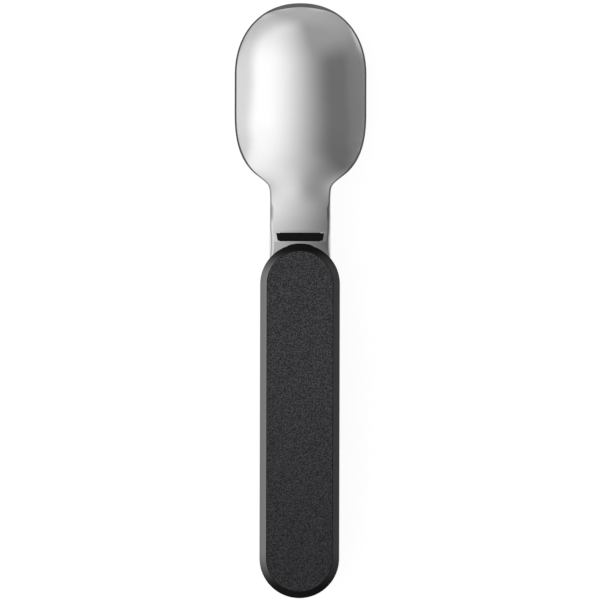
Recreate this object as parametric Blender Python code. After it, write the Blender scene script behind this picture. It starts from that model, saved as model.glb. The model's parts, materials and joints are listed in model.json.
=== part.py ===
"""Folding spoon: a drawn steel head that swings on a cross pin into a two-shell handle.

The spoon lies on its front with the hollow of the bowl down, the bowl's tip at +Y and the handle
towards -Y. Lengths are in metres, +Z is up, and the origin is the middle of the footprint.
"""

import math

import bmesh
import bpy
from mathutils import Matrix, Vector

MM = 0.001

# Handle
HANDLE_LENGTH = 95.0 * MM
HANDLE_WIDTH = 21.4 * MM
HANDLE_THICKNESS = 10.0 * MM
BACK_PLATE = 1.7 * MM
EDGE_CHAMFER = 1.5 * MM
SHELL_WALL = 1.8 * MM
SEAT_LENGTH = 13.0 * MM
LIP_THICKNESS = 1.2 * MM
LIP_HEIGHT = 1.5 * MM
PEG_RADIUS = 1.2 * MM
PEG_LENGTH = 4.0 * MM
BOSS_WALL = 1.3 * MM
BOSS_SETBACK = 7.0 * MM

# Steel head
HEAD_REACH = 65.0 * MM
SHEET = 0.8 * MM
RIM_HEIGHT = 0.3 * MM
BOWL_WIDTH = 35.5 * MM
BOWL_TIP_LENGTH = 19.5 * MM
BOWL_STRAIGHT = 9.5 * MM
BOWL_SHOULDER = 20.4 * MM
BOWL_CROWN = 1.2 * MM
TIP_FULLNESS = 2.15
SHOULDER_FULLNESS = 2.6
BOWL_RIM_ANGLE = math.radians(62.0)
TIP_RIM_ANGLE = math.radians(50.0)
NECK_WIDTH = 16.3 * MM
NECK_DEPTH = 1.9 * MM
NECK_RISE = 13.6 * MM
NECK_BLEND = 2.4 * MM
FOLD_START = 3.0 * MM
FLARE_WIDTH = 16.6 * MM
FLANGE_ANGLE = math.radians(85.0)
FLANGE_TAPER = 6.0 * MM
CORNER_RADIUS = 1.1 * MM
WEB_CROWN_ANGLE = math.radians(8.0)
SLOT_WIDTH = 12.9 * MM
SLOT_FOOT = 12.1 * MM
SLOT_HEIGHT = 2.4 * MM
SLOT_CORNER = 0.6 * MM
SLOT_LAND = 0.75 * MM
EAR_SPAN = 15.4 * MM
EAR_RADIUS = 3.4 * MM
WEB_TAIL = 1.5 * MM

# Hinge
PIVOT_SETBACK = 9.5 * MM
PIN_RADIUS = 1.25 * MM
PIN_RECESS = 0.3 * MM
PIN_EDGE = 0.2 * MM
HUB_RADIUS = 3.0 * MM
WASHER_THICKNESS = 0.5 * MM
WASHER_RADIUS = 3.2 * MM
CHEEK_NOSE = 3.0 * MM
INSERT_WIDTH = 10.8 * MM
INSERT_NOSE = 2.0 * MM
INSERT_NOSE_SLOPE = 3.0 * MM
RIB_RECESS = 0.5 * MM
SPRING_WIDTH = 8.0 * MM
SPRING_THICKNESS = 0.6 * MM
SPRING_PAD = 0.35 * MM
SPRING_TAIL = 11.0 * MM

# Fits
FIT_GAP = 0.3 * MM
HUB_CLEARANCE = 0.05 * MM
CUT_MARGIN = 2.0 * MM

# Facets
ARC_STEPS = 20
HOLE_STEPS = 24
TIP_STEPS = 14
SHOULDER_STEPS = 12
EAR_STEPS = 9
CORNER_STEPS = 4
STEM_STEP = 1.3 * MM
ZONE_STEPS = (3, 5, 4)

# Places along the spoon
TIP_Y = (HANDLE_LENGTH + HEAD_REACH) / 2
BUTT_Y = -TIP_Y
HINGE_END_Y = BUTT_Y + HANDLE_LENGTH
PIVOT_Y = HINGE_END_Y - PIVOT_SETBACK
SLOT_Y = HINGE_END_Y + SLOT_LAND
NOSE_Y = SLOT_Y + SLOT_HEIGHT + INSERT_NOSE
FLANGE_START_Y = NOSE_Y + FIT_GAP + FLANGE_TAPER
EAR_FRONT_Y = PIVOT_Y + EAR_RADIUS
WEB_END_Y = PIVOT_Y + WEB_TAIL
MOUTH_END_Y = 2 * PIVOT_Y - FLANGE_START_Y - FIT_GAP
SEAT_END_Y = MOUTH_END_Y - SEAT_LENGTH
ARC_Y = BUTT_Y + HANDLE_WIDTH / 2

# Distances from the bowl's tip
SHOULDER_AT = BOWL_TIP_LENGTH + BOWL_STRAIGHT
BOWL_END = SHOULDER_AT + BOWL_SHOULDER

# Heights
PLATE_UNDER_Z = HANDLE_THICKNESS - BACK_PLATE
PARTING_Z = PLATE_UNDER_Z - FIT_GAP
WEB_TOP_Z = PARTING_Z
SPRING_TOP_Z = PLATE_UNDER_Z - SPRING_PAD - FIT_GAP
SPRING_UNDER_Z = SPRING_TOP_Z - SPRING_THICKNESS
PIVOT_Z = SPRING_UNDER_Z - HUB_CLEARANCE - HUB_RADIUS
CROWN_DROP = INSERT_WIDTH / 4 * math.tan(WEB_CROWN_ANGLE)
HUB_FLAT = WEB_TOP_Z - SHEET - CROWN_DROP - FIT_GAP - PIVOT_Z
SEAT_Z = SPRING_UNDER_Z - FIT_GAP
EAR_DEPTH = WEB_TOP_Z - PIVOT_Z + EAR_RADIUS
RIM_EDGE_Z = RIM_HEIGHT + SHEET * math.cos(BOWL_RIM_ANGLE)

# Half widths across the hinge
WASHER_INNER_X = EAR_SPAN / 2 + FIT_GAP
MOUTH_X = WASHER_INNER_X + WASHER_THICKNESS + FIT_GAP
HOLE_RADIUS = PIN_RADIUS + FIT_GAP
SOCKET_RADIUS = PEG_RADIUS + FIT_GAP


def clear_scene():
    for item in list(bpy.data.objects):
        bpy.data.objects.remove(item, do_unlink=True)


def make_material(name, colour, roughness, metallic):
    material = bpy.data.materials.new(name)
    material.use_nodes = True
    shader = material.node_tree.nodes["Principled BSDF"]
    shader.inputs["Base Color"].default_value = (*colour, 1.0)
    shader.inputs["Roughness"].default_value = roughness
    shader.inputs["Metallic"].default_value = metallic
    return material


def make_object(name, bm, material=None, parent=None):
    """Turn a bmesh in world coordinates into an object, kept in place under its parent."""
    bmesh.ops.recalc_face_normals(bm, faces=bm.faces)
    mesh = bpy.data.meshes.new(name)
    bm.to_mesh(mesh)
    bm.free()
    mesh.shade_smooth()
    mesh.set_sharp_from_angle(angle=math.radians(30.0))
    made = bpy.data.objects.new(name, mesh)
    bpy.context.collection.objects.link(made)
    if material:
        mesh.materials.append(material)
    if parent:
        mesh.transform(Matrix.Translation(-parent.location))
        made.parent = parent
    return made


def make_empty(name, location):
    made = bpy.data.objects.new(name, None)
    made.location = location
    bpy.context.collection.objects.link(made)
    return made


def combine(target, tool, operation):
    """Cut a tool from the target or join it on, and leave the tool as a hidden guide."""
    tool.hide_render = True
    tool.display_type = "WIRE"
    modifier = target.modifiers.new(tool.name, "BOOLEAN")
    modifier.operation = operation
    modifier.solver = "EXACT"
    modifier.object = tool


def loft(loops):
    """Close a solid through point loops of equal length, with a flat face on each end."""
    bm = bmesh.new()
    rings = [[bm.verts.new(point) for point in loop] for loop in loops]
    for lower, upper in zip(rings, rings[1:]):
        for i in range(len(lower)):
            j = (i + 1) % len(lower)
            bm.faces.new((lower[i], lower[j], upper[j], upper[i]))
    bm.faces.new(rings[0][::-1])
    bm.faces.new(rings[-1])
    return bm


def flat_loop(outline, z):
    return [Vector((x, y, z)) for x, y in outline]


def side_loop(profile, x):
    return [Vector((x, y, z)) for y, z in profile]


def box(x0, x1, y0, y1, z0, z1):
    outline = [(x0, y0), (x1, y0), (x1, y1), (x0, y1)]
    return loft([flat_loop(outline, z0), flat_loop(outline, z1)])


def arc(centre, radius, start, end, steps):
    """Points on a circle between two angles given in degrees."""
    angles = [math.radians(start + (end - start) * i / steps) for i in range(steps + 1)]
    return [(centre[0] + radius * math.cos(a), centre[1] + radius * math.sin(a)) for a in angles]


def circle(centre, radius):
    return arc(centre, radius, 0.0, 360.0, HOLE_STEPS)[:-1]


def upright_cylinder(y, radius, z0, z1):
    outline = circle((0.0, y), radius)
    return loft([flat_loop(outline, z0), flat_loop(outline, z1)])


def cross_cylinder(radius, x0, x1):
    """A round bar along X on the pivot's axis."""
    profile = circle((PIVOT_Y, PIVOT_Z), radius)
    return loft([side_loop(profile, x0), side_loop(profile, x1)])


def handle_outline(inset):
    """The handle's stadium, drawn in by an inset."""
    radius = HANDLE_WIDTH / 2 - inset
    top = arc((0.0, HINGE_END_Y - HANDLE_WIDTH / 2), radius, 0.0, 180.0, ARC_STEPS)
    return top + arc((0.0, ARC_Y), radius, 180.0, 360.0, ARC_STEPS)


def cavity_outline(inset):
    """The front shell's hollow: round at the butt and square at the spring's seat."""
    radius = HANDLE_WIDTH / 2 - SHELL_WALL - inset
    end = SEAT_END_Y - inset
    return [(radius, end), (-radius, end)] + arc((0.0, ARC_Y), radius, 180.0, 360.0, ARC_STEPS)


def boss_places():
    return ARC_Y, SEAT_END_Y - BOSS_SETBACK


def smooth_step(low, high, value):
    share = min(max((value - low) / (high - low), 0.0), 1.0)
    return share * share * (3.0 - 2.0 * share)


def mix(a, b, share):
    return a + (b - a) * share


def smooth_max(a, b, blend):
    return (a + b + math.hypot(a - b, blend)) / 2


def bowl_half_width(s):
    """Half width of the bowl's outline at a distance s from the tip."""
    if s < BOWL_TIP_LENGTH:
        share, power = 1.0 - s / BOWL_TIP_LENGTH, TIP_FULLNESS
    else:
        share, power = max(s - SHOULDER_AT, 0.0) / BOWL_SHOULDER, SHOULDER_FULLNESS
    return BOWL_WIDTH / 2 * max(1.0 - share ** power, 0.0) ** (1.0 / power)


def stem_half_width(y):
    """Half width of the neck and stem, flared towards the handle and drawn in at the ears."""
    half = mix(NECK_WIDTH, FLARE_WIDTH, 1.0 - smooth_step(HINGE_END_Y, FLANGE_START_Y, y)) / 2
    drawn_in = 1.0 - smooth_step(EAR_FRONT_Y, (EAR_FRONT_Y + HINGE_END_Y) / 2, y)
    return mix(half, EAR_SPAN / 2, drawn_in)


def half_width(s):
    """Half width of the whole outline, with a rounded inner corner where the bowl meets the neck."""
    if s < SHOULDER_AT:
        return bowl_half_width(s)
    rising = smooth_step(SHOULDER_AT, BOWL_END, s)
    fading = 1.0 - smooth_step(BOWL_END, BOWL_END + 2 * NECK_BLEND, s)
    return smooth_max(bowl_half_width(s), stem_half_width(TIP_Y - s), NECK_BLEND * rising * fading)


def crown_height(s):
    """Top of the sheet on the middle line."""
    apex = WEB_TOP_Z + BOWL_CROWN
    if s < BOWL_TIP_LENGTH:
        edge = math.cos(TIP_RIM_ANGLE)
        across = math.sin(TIP_RIM_ANGLE) * (1.0 - s / BOWL_TIP_LENGTH)
        return mix(RIM_EDGE_Z, apex, (math.sqrt(1.0 - across * across) - edge) / (1.0 - edge))
    return mix(apex, WEB_TOP_Z, smooth_step(BOWL_TIP_LENGTH, BOWL_END, s))


def section_depth(s):
    """Drop from the middle line to the sheet's edge."""
    bowl = crown_height(s) - RIM_EDGE_Z
    neck_share = smooth_step(BOWL_END - NECK_RISE, BOWL_END, s)
    ear_share = 1.0 - smooth_step(NOSE_Y + FIT_GAP, FLANGE_START_Y, TIP_Y - s)
    return mix(mix(bowl, NECK_DEPTH, neck_share), EAR_DEPTH, ear_share)


def section_knots(s):
    """Share of the half section's length and slope of the sheet at the ends of its three zones."""
    y = TIP_Y - s
    upright = 1.0 - smooth_step(EAR_FRONT_Y, HINGE_END_Y, y)
    slope = mix(FLANGE_ANGLE, math.pi / 2, upright)
    depth = section_depth(s)
    corner = min(CORNER_RADIUS, depth * 3 / 4)
    flange = (depth - corner * (1.0 - math.cos(slope))) / math.sin(slope)
    web = half_width(s) - corner * math.sin(slope) - flange * math.cos(slope)
    total = web + corner * slope + flange
    share = smooth_step(BOWL_END - FOLD_START, BOWL_END + FOLD_START, s)
    web_end = mix(1.0 / 4, web / total, share)
    bend_end = mix(3.0 / 4, (web + corner * slope) / total, share)
    web_slope = mix(BOWL_RIM_ANGLE / 4, WEB_CROWN_ANGLE * (1.0 - upright), share)
    bend_slope = mix(BOWL_RIM_ANGLE * 3 / 4, slope, share)
    return (0.0, 0.0), (web_end, web_slope), (bend_end, bend_slope), (1.0, mix(BOWL_RIM_ANGLE, slope, share))


def half_section(s):
    """Points (x, drop) from the middle line to the edge, each zone bent at an even rate."""
    knots = section_knots(s)
    points = [(0.0, 0.0)]
    for (start, slope0), (end, slope1), steps in zip(knots, knots[1:], ZONE_STEPS):
        x0, drop0 = points[-1]
        turn = slope1 - slope0
        for i in range(1, steps + 1):
            run = (end - start) * i / steps
            slope = slope0 + turn * i / steps
            chord = run
            if abs(turn) > 1e-6:
                chord = run * math.sin((slope - slope0) / 2) / ((slope - slope0) / 2)
            middle = (slope0 + slope) / 2
            points.append((x0 + chord * math.cos(middle), drop0 + chord * math.sin(middle)))
    wide, deep = half_width(s) / points[-1][0], section_depth(s) / points[-1][1]
    return [(x * wide, drop * deep) for x, drop in points]


def head_stations():
    """Distances from the tip, close together where the outline turns fast."""
    quarter = math.pi / 2
    power = 2.0 / TIP_FULLNESS
    tip = [BOWL_TIP_LENGTH * (1.0 - math.cos(quarter * i / TIP_STEPS) ** power) for i in range(1, TIP_STEPS)]
    power = 2.0 / SHOULDER_FULLNESS
    bends = [math.sin(quarter * i / SHOULDER_STEPS) ** power for i in range(SHOULDER_STEPS)]
    shoulder = [SHOULDER_AT + BOWL_SHOULDER * bend for bend in bends]
    stem_start, stem_end = BOWL_END, TIP_Y - WEB_END_Y
    count = round((stem_end - stem_start) / STEM_STEP)
    stem = [mix(stem_start, stem_end, i / count) for i in range(count + 1)]
    return tip + [BOWL_TIP_LENGTH, (BOWL_TIP_LENGTH + SHOULDER_AT) / 2] + shoulder + stem


def ear_rows():
    """Rows of (y, z) down each ear, from the end of the web round the pin."""
    top = WEB_TOP_Z - half_section(TIP_Y - WEB_END_Y)[-1 - ZONE_STEPS[-1]][1]
    rows = []
    for i in range(EAR_STEPS):
        turn = math.pi / 2 * i / EAR_STEPS
        y, half = PIVOT_Y - EAR_RADIUS * math.sin(turn), EAR_RADIUS * math.cos(turn)
        high, low = min(top, PIVOT_Z + half), PIVOT_Z - half
        rows.append([(y, mix(high, low, j / ZONE_STEPS[-1])) for j in range(ZONE_STEPS[-1] + 1)])
    return rows


def add_strip(bm, last, verts):
    for i in range(len(verts) - 1):
        bm.faces.new((last[i], verts[i], verts[i + 1], last[i + 1]))


def head_sheet():
    """The upper skin of the head, from a point at the tip to the ends of the ears."""
    bm = bmesh.new()
    tip = bm.verts.new((0.0, TIP_Y, crown_height(0.0)))
    last = None
    for s in head_stations():
        right = half_section(s)
        row = [(-x, drop) for x, drop in right[:0:-1]] + right
        verts = [bm.verts.new((x, TIP_Y - s, crown_height(s) - drop)) for x, drop in row]
        if last:
            add_strip(bm, last, verts)
        else:
            for near, far in zip(verts, verts[1:]):
                bm.faces.new((tip, near, far))
        last = verts
    kept = ZONE_STEPS[-1] + 1
    left, right = last[:kept], last[-kept:]
    for row in ear_rows():
        verts = [bm.verts.new((-EAR_SPAN / 2, y, z)) for y, z in row[::-1]]
        add_strip(bm, left, verts)
        left = verts
        verts = [bm.verts.new((EAR_SPAN / 2, y, z)) for y, z in row]
        add_strip(bm, right, verts)
        right = verts
    return bm


def slot_outline(inset):
    """The slot seen from above: wider at its far edge and rounded at the corners near the handle."""
    far, near = SLOT_WIDTH / 2 - inset, SLOT_FOOT / 2 - inset
    low, high = SLOT_Y + inset, SLOT_Y + SLOT_HEIGHT - inset
    radius = SLOT_CORNER - inset
    right = arc((near - radius, low + radius), radius, 270.0, 360.0, CORNER_STEPS) + [(far, high)]
    return right + [(-x, y) for x, y in right[::-1]]


def slot_prism(inset, z0, z1):
    outline = slot_outline(inset)
    return loft([flat_loop(outline, z0), flat_loop(outline, z1)])


def build_spoon_head(material, hinge):
    head = make_object("spoon_head", head_sheet(), material, hinge)
    if head.data.polygons[0].normal.z < 0.0:
        head.data.flip_normals()
    sheet = head.modifiers.new("sheet", "SOLIDIFY")
    sheet.thickness = SHEET
    sheet.offset = -1.0
    sheet.use_even_offset = True
    sheet.use_quality_normals = True
    slot = slot_prism(0.0, PIVOT_Z, HANDLE_THICKNESS)
    combine(head, make_object("slot_cut", slot), "DIFFERENCE")
    reach = EAR_SPAN / 2 + CUT_MARGIN
    combine(head, make_object("ear_hole_cut", cross_cylinder(HOLE_RADIUS, -reach, reach)), "DIFFERENCE")
    return head


def insert_profile():
    """The insert from the side: a hub with two flats, and a nose that slopes up under the stem."""
    turn = math.degrees(math.asin(HUB_FLAT / HUB_RADIUS))
    hub = arc((PIVOT_Y, PIVOT_Z), HUB_RADIUS, 180.0 - turn, 180.0 + turn, ARC_STEPS)
    low, high = PIVOT_Z - HUB_FLAT, PIVOT_Z + HUB_FLAT
    return hub + [(NOSE_Y - INSERT_NOSE_SLOPE, low), (NOSE_Y, PIVOT_Z), (NOSE_Y, high)]


def build_hinge_insert(material, hinge):
    half = INSERT_WIDTH / 2
    body = loft([side_loop(insert_profile(), -half), side_loop(insert_profile(), half)])
    insert = make_object("hinge_insert", body, material, hinge)
    rib = slot_prism(FIT_GAP, PIVOT_Z, WEB_TOP_Z - RIB_RECESS)
    combine(insert, make_object("rib_join", rib), "UNION")
    reach = half + CUT_MARGIN
    combine(insert, make_object("hub_hole_cut", cross_cylinder(HOLE_RADIUS, -reach, reach)), "DIFFERENCE")
    return insert


def build_hinge_pin(material, handle):
    end = HANDLE_WIDTH / 2 - PIN_RECESS
    stations = (
        (-end, PIN_RADIUS - PIN_EDGE),
        (PIN_EDGE - end, PIN_RADIUS),
        (end - PIN_EDGE, PIN_RADIUS),
        (end, PIN_RADIUS - PIN_EDGE),
    )
    loops = [side_loop(circle((PIVOT_Y, PIVOT_Z), radius), x) for x, radius in stations]
    return make_object("hinge_pin", loft(loops), material, handle)


def build_washer(name, side, material, handle):
    near, far = side * WASHER_INNER_X, side * (WASHER_INNER_X + WASHER_THICKNESS)
    disc = cross_cylinder(WASHER_RADIUS, min(near, far), max(near, far))
    washer = make_object(name, disc, material, handle)
    reach = far + side * CUT_MARGIN
    hole = cross_cylinder(HOLE_RADIUS, min(0.0, reach), max(0.0, reach))
    combine(washer, make_object(name + "_hole_cut", hole), "DIFFERENCE")
    return washer


def spring_peg_y():
    return MOUTH_END_Y - SPRING_TAIL / 2


def build_detent_spring(material, handle):
    half = SPRING_WIDTH / 2
    leaf = box(-half, half, MOUTH_END_Y - SPRING_TAIL, PIVOT_Y, SPRING_UNDER_Z, SPRING_TOP_Z)
    spring = make_object("detent_spring", leaf, material, handle)
    hole = upright_cylinder(spring_peg_y(), SOCKET_RADIUS, PIVOT_Z, HANDLE_THICKNESS)
    combine(spring, make_object("spring_hole_cut", hole), "DIFFERENCE")
    return spring


def build_front_shell(material, handle):
    drawn_in, full = handle_outline(EDGE_CHAMFER), handle_outline(0.0)
    shape = loft([flat_loop(drawn_in, 0.0), flat_loop(full, EDGE_CHAMFER), flat_loop(full, PARTING_Z)])
    shell = make_object("handle_front_shell", shape, material, handle)
    side, above, below = HANDLE_WIDTH / 2 + CUT_MARGIN, HANDLE_THICKNESS, -CUT_MARGIN
    ahead = HINGE_END_Y + CUT_MARGIN
    mouth = box(-MOUTH_X, MOUTH_X, MOUTH_END_Y, ahead, below, above)
    combine(shell, make_object("mouth_cut", mouth), "DIFFERENCE")
    nose = box(-side, side, PIVOT_Y + CHEEK_NOSE, ahead, below, above)
    combine(shell, make_object("cheek_nose_cut", nose), "DIFFERENCE")
    cavity = cavity_outline(0.0)
    hollow = loft([flat_loop(cavity, SHELL_WALL), flat_loop(cavity, above)])
    combine(shell, make_object("cavity_cut", hollow), "DIFFERENCE")
    notch_x = SPRING_WIDTH / 2 + FIT_GAP
    notch = box(-notch_x, notch_x, SEAT_END_Y - CUT_MARGIN, MOUTH_END_Y + CUT_MARGIN, SEAT_Z, above)
    combine(shell, make_object("spring_seat_cut", notch), "DIFFERENCE")
    peg = upright_cylinder(spring_peg_y(), PEG_RADIUS, PIVOT_Z, SPRING_TOP_Z)
    combine(shell, make_object("spring_peg_join", peg), "UNION")
    for number, y in enumerate(boss_places(), 1):
        boss = upright_cylinder(y, SOCKET_RADIUS + BOSS_WALL, SHELL_WALL / 2, PARTING_Z)
        combine(shell, make_object(f"boss_{number}_join", boss), "UNION")
        socket = upright_cylinder(y, SOCKET_RADIUS, SHELL_WALL, above)
        combine(shell, make_object(f"socket_{number}_cut", socket), "DIFFERENCE")
    combine(shell, make_object("cheek_hole_cut", cross_cylinder(HOLE_RADIUS, -side, side)), "DIFFERENCE")
    return shell


def build_back_shell(material, handle):
    drawn_in, full = handle_outline(EDGE_CHAMFER), handle_outline(0.0)
    shape = loft(
        [
            flat_loop(full, PLATE_UNDER_Z),
            flat_loop(full, HANDLE_THICKNESS - EDGE_CHAMFER),
            flat_loop(drawn_in, HANDLE_THICKNESS),
        ]
    )
    shell = make_object("handle_back_shell", shape, material, handle)
    inside = (PLATE_UNDER_Z + HANDLE_THICKNESS) / 2
    lip_low = PLATE_UNDER_Z - LIP_HEIGHT
    outer, inner = cavity_outline(FIT_GAP), cavity_outline(FIT_GAP + LIP_THICKNESS)
    lip = make_object("lip_join", loft([flat_loop(outer, lip_low), flat_loop(outer, inside)]))
    within = loft([flat_loop(inner, lip_low - CUT_MARGIN), flat_loop(inner, PLATE_UNDER_Z)])
    combine(lip, make_object("lip_inner_cut", within), "DIFFERENCE")
    combine(shell, lip, "UNION")
    pad_half = SPRING_WIDTH / 2
    pad = box(-pad_half, pad_half, MOUTH_END_Y - SPRING_TAIL, MOUTH_END_Y, PLATE_UNDER_Z - SPRING_PAD, inside)
    combine(shell, make_object("spring_pad_join", pad), "UNION")
    for number, y in enumerate(boss_places(), 1):
        peg = upright_cylinder(y, PEG_RADIUS, PLATE_UNDER_Z - PEG_LENGTH, inside)
        combine(shell, make_object(f"peg_{number}_join", peg), "UNION")
    return shell


def main():
    clear_scene()
    handle = make_empty("handle", (0.0, 0.0, 0.0))
    hinge = make_empty("hinge_axis", (0.0, PIVOT_Y, PIVOT_Z))
    hinge.parent = handle
    bpy.context.view_layer.update()
    steel = make_material("drawn_steel", (0.62, 0.62, 0.62), 0.16, 1.0)
    pin_steel = make_material("pin_steel", (0.5, 0.5, 0.5), 0.3, 1.0)
    spring_steel = make_material("spring_steel", (0.4, 0.4, 0.41), 0.35, 1.0)
    washer_nylon = make_material("washer_nylon", (0.55, 0.55, 0.52), 0.5, 0.0)
    insert_black = make_material("insert_black", (0.01, 0.01, 0.01), 0.45, 0.0)
    front_black = make_material("front_black", (0.035, 0.035, 0.037), 0.6, 0.0)
    back_black = make_material("back_black", (0.037, 0.037, 0.039), 0.6, 0.0)
    build_spoon_head(steel, hinge)
    build_hinge_insert(insert_black, hinge)
    build_hinge_pin(pin_steel, handle)
    build_washer("washer_left", -1.0, washer_nylon, handle)
    build_washer("washer_right", 1.0, washer_nylon, handle)
    build_detent_spring(spring_steel, handle)
    build_front_shell(front_black, handle)
    build_back_shell(back_black, handle)


main()
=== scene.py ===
import json
import math

import bmesh
import bpy
from bpy.props import FloatProperty, FloatVectorProperty, PointerProperty
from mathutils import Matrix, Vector


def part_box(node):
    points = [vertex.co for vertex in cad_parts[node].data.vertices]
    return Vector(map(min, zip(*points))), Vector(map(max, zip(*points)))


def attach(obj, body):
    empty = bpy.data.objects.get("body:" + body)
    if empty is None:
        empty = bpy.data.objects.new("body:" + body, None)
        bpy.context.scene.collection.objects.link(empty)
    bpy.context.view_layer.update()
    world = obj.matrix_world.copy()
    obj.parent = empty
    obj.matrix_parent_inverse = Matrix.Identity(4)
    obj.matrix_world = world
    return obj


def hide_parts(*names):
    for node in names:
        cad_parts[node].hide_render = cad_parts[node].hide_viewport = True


bl_info = {
    "name": "Folding Spoon Dresser",
    "version": (1, 0, 0),
    "blender": (4, 5, 0),
    "location": "View3D > Sidebar > Spoon",
    "description": "Builds the finished surfaces of a folding spoon around its packed solids",
    "category": "Object",
}

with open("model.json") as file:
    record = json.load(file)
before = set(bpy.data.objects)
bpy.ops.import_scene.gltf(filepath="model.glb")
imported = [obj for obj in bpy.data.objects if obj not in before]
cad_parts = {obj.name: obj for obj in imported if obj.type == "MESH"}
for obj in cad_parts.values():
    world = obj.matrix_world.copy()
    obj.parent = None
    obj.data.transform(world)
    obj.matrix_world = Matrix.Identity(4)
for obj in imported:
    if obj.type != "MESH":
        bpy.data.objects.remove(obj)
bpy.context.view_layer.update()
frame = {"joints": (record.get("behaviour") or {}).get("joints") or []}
MM = 0.001
PIVOT = Vector(frame["joints"][0]["pos_m"])
HEAD_LOW, HEAD_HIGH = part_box("spoon_head")
BACK_LOW, BACK_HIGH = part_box("handle_back_shell")
FRONT_LOW, FRONT_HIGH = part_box("handle_front_shell")
INSERT_LOW, INSERT_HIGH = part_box("hinge_insert")
PIN_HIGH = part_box("hinge_pin")[1]
SPRING_LOW, SPRING_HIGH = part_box("detent_spring")
WASHER_LOW, WASHER_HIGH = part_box("washer_right")
HANDLE_HALF = BACK_HIGH.x
PIN_RADIUS = PIN_HIGH.z - PIVOT.z
CLEARANCE = 0.3 * MM
MERGE = 0.001 * MM

# Grain size, grain depth, roughness, specular level and, where it isn't the usual one, index
SATIN_LOOK = (0.12 * MM, 0.0015 * MM, 0.13, 0.76, 1.7)
DULL_LOOK = (0.12 * MM, 0.0015 * MM, 0.4, 0.03)
INSERT_LOOK = (0.25 * MM, 0.01 * MM, 0.55, 0.08)

# Material slots of the handle's shells
GRAIN, SATIN, LEDGE = range(3)


class HeadSettings(bpy.types.PropertyGroup):
    """Sizes and colour of the drawn steel head."""

    sheet: FloatProperty(
        name="Sheet", description="Thickness of the steel", default=0.8 * MM, unit="LENGTH"
    )
    rim_height: FloatProperty(
        name="Rim height", description="Gap under the bowl's rim", default=HEAD_LOW.z, unit="LENGTH"
    )
    tip_length: FloatProperty(
        name="Tip length", description="Length of the bowl's round tip", default=19.5 * MM, unit="LENGTH"
    )
    straight: FloatProperty(
        name="Straight", description="Length of the bowl's straight sides", default=9.5 * MM, unit="LENGTH"
    )
    shoulder: FloatProperty(
        name="Shoulder", description="Length of the bowl's shoulders", default=20.4 * MM, unit="LENGTH"
    )
    web_top: FloatProperty(
        name="Web top", description="Height of the stem's top", default=FRONT_HIGH.z, unit="LENGTH"
    )
    colour: FloatVectorProperty(
        name="Colour", description="Colour of the steel", default=(0.5, 0.5, 0.5), subtype="COLOR"
    )
    # Painted shade: the share of the steel's colour that is left on the rim
    rim_painted_shade: FloatProperty(
        name="Rim shade", description="Share of the colour on the ground rim", default=0.24, subtype="FACTOR"
    )
    roughness: FloatProperty(
        name="Roughness", description="Blur of the polish", default=0.13, subtype="FACTOR"
    )


class HandleSettings(bpy.types.PropertyGroup):
    """Sizes and colour of the handle's shells."""

    chamfer: FloatProperty(
        name="Chamfer", description="Width of the bevelled border", default=1.75 * MM, unit="LENGTH"
    )
    ledge: FloatProperty(
        name="Ledge", description="Step from the border up to the face", default=0.15 * MM, unit="LENGTH"
    )
    chamfer_slope: FloatProperty(
        name="Chamfer slope", description="Slope of the border", default=math.radians(33.0), subtype="ANGLE"
    )
    edge_radius: FloatProperty(
        name="Edge radius", description="Rounding of the border's edges", default=0.1 * MM, unit="LENGTH"
    )
    grain_size: FloatProperty(
        name="Grain size", description="Width of one grain of the surface", default=0.36 * MM, unit="LENGTH"
    )
    colour: FloatVectorProperty(
        name="Colour", description="Colour of the plastic", default=(0.0362, 0.0362, 0.0392), subtype="COLOR"
    )
    border_colour: FloatVectorProperty(
        name="Border colour",
        description="Colour of the satin border",
        default=(0.005, 0.005, 0.0053),
        subtype="COLOR",
    )


class StageSettings(bpy.types.PropertyGroup):
    """Camera, light and floor."""

    picture_width: FloatProperty(
        name="Picture width", description="Width shown at the object", default=161.3 * MM, unit="LENGTH"
    )
    lens: FloatProperty(name="Lens", description="Focal length in millimetres", default=400.0)
    roll: FloatProperty(
        name="Roll", description="Turn of the camera", default=math.radians(0.15), subtype="ANGLE"
    )
    light: FloatProperty(name="Light", description="Strength of the studio light", default=2.12)
    floor_radius: FloatProperty(
        name="Floor radius", description="Radius of the flat floor", default=2.2, unit="LENGTH"
    )
    floor_rise: FloatProperty(
        name="Floor rise", description="Height of the floor's curved rim", default=0.3, unit="LENGTH"
    )
    floor_gap: FloatProperty(
        name="Floor gap", description="Room for the folded bowl", default=8.0 * MM, unit="LENGTH"
    )
    shadow: FloatProperty(
        name="Shadow",
        description="Share of the floor's white that the shadow takes",
        default=0.13,
        subtype="FACTOR",
    )
    floor_white: FloatProperty(
        name="Floor white", description="Level at which the open floor shows to the camera", default=1.04
    )
    floor_colour: FloatVectorProperty(
        name="Floor colour", description="Colour of the floor", default=(0.8, 0.8, 0.8), subtype="COLOR"
    )


class Value:
    """A shader socket that can be used in Python expressions."""

    def __init__(self, graph, socket):
        self.graph = graph
        self.socket = socket

    def combine(self, operation, first, second=0.0):
        return self.graph.add("ShaderNodeMath", {"operation": operation}, {0: first, 1: second})

    def __add__(self, other):
        return self.combine("ADD", self, other)

    def __sub__(self, other):
        return self.combine("SUBTRACT", self, other)

    def __rsub__(self, other):
        return self.combine("SUBTRACT", other, self)

    def __mul__(self, other):
        return self.combine("MULTIPLY", self, other)

    def __abs__(self):
        return self.combine("ABSOLUTE", self)

    __radd__ = __add__
    __rmul__ = __mul__


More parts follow.
